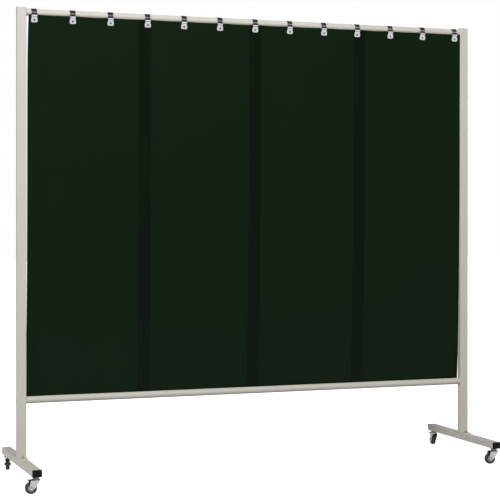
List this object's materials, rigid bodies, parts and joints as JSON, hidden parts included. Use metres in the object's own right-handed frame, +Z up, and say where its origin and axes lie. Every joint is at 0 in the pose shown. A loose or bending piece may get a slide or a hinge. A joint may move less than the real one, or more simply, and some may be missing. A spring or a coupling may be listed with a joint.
{
  "type": "mobile welding screen",
  "caption": "Mobile welding screen: a tube frame on braked swivel castors, with overlapping green film strips hung from a top rail by metal hangers.",
  "frame": {"origin": "on the floor, midway between the two posts and midway along the feet", "axes": "+X along the screen to the right as seen from its front, +Y from front to rear, +Z up"},
  "size_m": [2.1816, 0.6614, 2.018],
  "materials": {
    "frame_paint": "satin light grey powder coat",
    "grey_plastic": "moulded, matched to the frame",
    "black_plastic": "moulded, fine texture",
    "fastener_zinc": "bright zinc plated",
    "castor_zinc": "bright zinc plated pressing",
    "rim_plastic": "moulded light grey",
    "tyre_rubber": "moulded dark grey",
    "green_film": "smooth flexible film, dark green, nearly opaque",
    "hanger_chrome": "bright plated sheet"
  },
  "bodies": {
    "frame": {"left_post": "frame_paint", "right_post": "frame_paint", "post_caps": "grey_plastic", "top_tube": "frame_paint", "bottom_tube": "frame_paint", "tube_inserts": "fastener_zinc", "tube_screws": "fastener_zinc", "side_plugs": "grey_plastic", "left_base_plate": "frame_paint", "right_base_plate": "frame_paint", "base_bolts": "fastener_zinc", "weld_nuts": "fastener_zinc", "left_foot": "frame_paint", "right_foot": "frame_paint", "left_front_end_cap": "black_plastic", "left_rear_end_cap": "black_plastic", "right_front_end_cap": "black_plastic", "right_rear_end_cap": "black_plastic", "left_front_castor_stem": "castor_zinc", "right_front_castor_stem": "castor_zinc", "left_rear_castor_stem": "castor_zinc", "right_rear_castor_stem": "castor_zinc"},
    "left_front_swivel": {"left_front_fork": "castor_zinc", "left_front_axle": "castor_zinc"},
    "left_front_wheel": {"left_front_rim": "rim_plastic", "left_front_tyre": "tyre_rubber"},
    "left_front_brake": {"left_front_brake_pedal": "black_plastic"},
    "right_front_swivel": {"right_front_fork": "castor_zinc", "right_front_axle": "castor_zinc"},
    "right_front_wheel": {"right_front_rim": "rim_plastic", "right_front_tyre": "tyre_rubber"},
    "right_front_brake": {"right_front_brake_pedal": "black_plastic"},
    "left_rear_swivel": {"left_rear_fork": "castor_zinc", "left_rear_axle": "castor_zinc"},
    "left_rear_wheel": {"left_rear_rim": "rim_plastic", "left_rear_tyre": "tyre_rubber"},
    "left_rear_brake": {"left_rear_brake_pedal": "black_plastic"},
    "right_rear_swivel": {"right_rear_fork": "castor_zinc", "right_rear_axle": "castor_zinc"},
    "right_rear_wheel": {"right_rear_rim": "rim_plastic", "right_rear_tyre": "tyre_rubber"},
    "right_rear_brake": {"right_rear_brake_pedal": "black_plastic"},
    "curtain": {"strip_1": "green_film", "strip_2": "green_film", "strip_3": "green_film", "strip_4": "green_film", "hanger_01": "hanger_chrome", "hanger_02": "hanger_chrome", "hanger_03": "hanger_chrome", "hanger_04": "hanger_chrome", "hanger_05": "hanger_chrome", "hanger_06": "hanger_chrome", "hanger_07": "hanger_chrome", "hanger_08": "hanger_chrome", "hanger_09": "hanger_chrome", "hanger_10": "hanger_chrome", "hanger_11": "hanger_chrome", "hanger_12": "hanger_chrome", "hanger_13": "hanger_chrome", "hanger_rivets": "hanger_chrome"}
  },
  "joints": [
    {"name": "left_front_castor_turn", "type": "hinge", "parent": "frame", "child": "left_front_swivel", "pos_m": [-1.058, -0.294, 0.06], "axis": [0, 0, 1], "continuous": true},
    {"name": "left_front_wheel_spin", "type": "hinge", "parent": "left_front_swivel", "child": "left_front_wheel", "pos_m": [-1.078, -0.294, 0.025], "axis": [0, 1, 0], "continuous": true},
    {"name": "left_front_brake_press", "type": "hinge", "parent": "left_front_swivel", "child": "left_front_brake", "pos_m": [-1.06, -0.294, 0.049], "axis": [0, -1, 0], "range_deg": [0, 7]},
    {"name": "right_front_castor_turn", "type": "hinge", "parent": "frame", "child": "right_front_swivel", "pos_m": [1.058, -0.294, 0.06], "axis": [0, 0, 1], "continuous": true},
    {"name": "right_front_wheel_spin", "type": "hinge", "parent": "right_front_swivel", "child": "right_front_wheel", "pos_m": [1.038, -0.294, 0.025], "axis": [0, 1, 0], "continuous": true},
    {"name": "right_front_brake_press", "type": "hinge", "parent": "right_front_swivel", "child": "right_front_brake", "pos_m": [1.056, -0.294, 0.049], "axis": [0, -1, 0], "range_deg": [0, 7]},
    {"name": "left_rear_castor_turn", "type": "hinge", "parent": "frame", "child": "left_rear_swivel", "pos_m": [-1.058, 0.294, 0.06], "axis": [0, 0, 1], "continuous": true},
    {"name": "left_rear_wheel_spin", "type": "hinge", "parent": "left_rear_swivel", "child": "left_rear_wheel", "pos_m": [-1.05418, 0.31363, 0.025], "axis": [0.9816, -0.1908, 0], "continuous": true},
    {"name": "left_rear_brake_press", "type": "hinge", "parent": "left_rear_swivel", "child": "left_rear_brake", "pos_m": [-1.05762, 0.29596, 0.049], "axis": [-0.9816, 0.1908, 0], "range_deg": [0, 7]},
    {"name": "right_rear_castor_turn", "type": "hinge", "parent": "frame", "child": "right_rear_swivel", "pos_m": [1.058, 0.294, 0.06], "axis": [0, 0, 1], "continuous": true},
    {"name": "right_rear_wheel_spin", "type": "hinge", "parent": "right_rear_swivel", "child": "right_rear_wheel", "pos_m": [1.06147, 0.3137, 0.025], "axis": [0.9848, -0.1736, 0], "continuous": true},
    {"name": "right_rear_brake_press", "type": "hinge", "parent": "right_rear_swivel", "child": "right_rear_brake", "pos_m": [1.05835, 0.29597, 0.049], "axis": [-0.9848, 0.1736, 0], "range_deg": [0, 7]},
    {"name": "curtain_swing", "type": "hinge", "parent": "frame", "child": "curtain", "pos_m": [0, 0, 1.998], "axis": [1, 0, 0], "range_deg": [0, 30]}
  ]
}
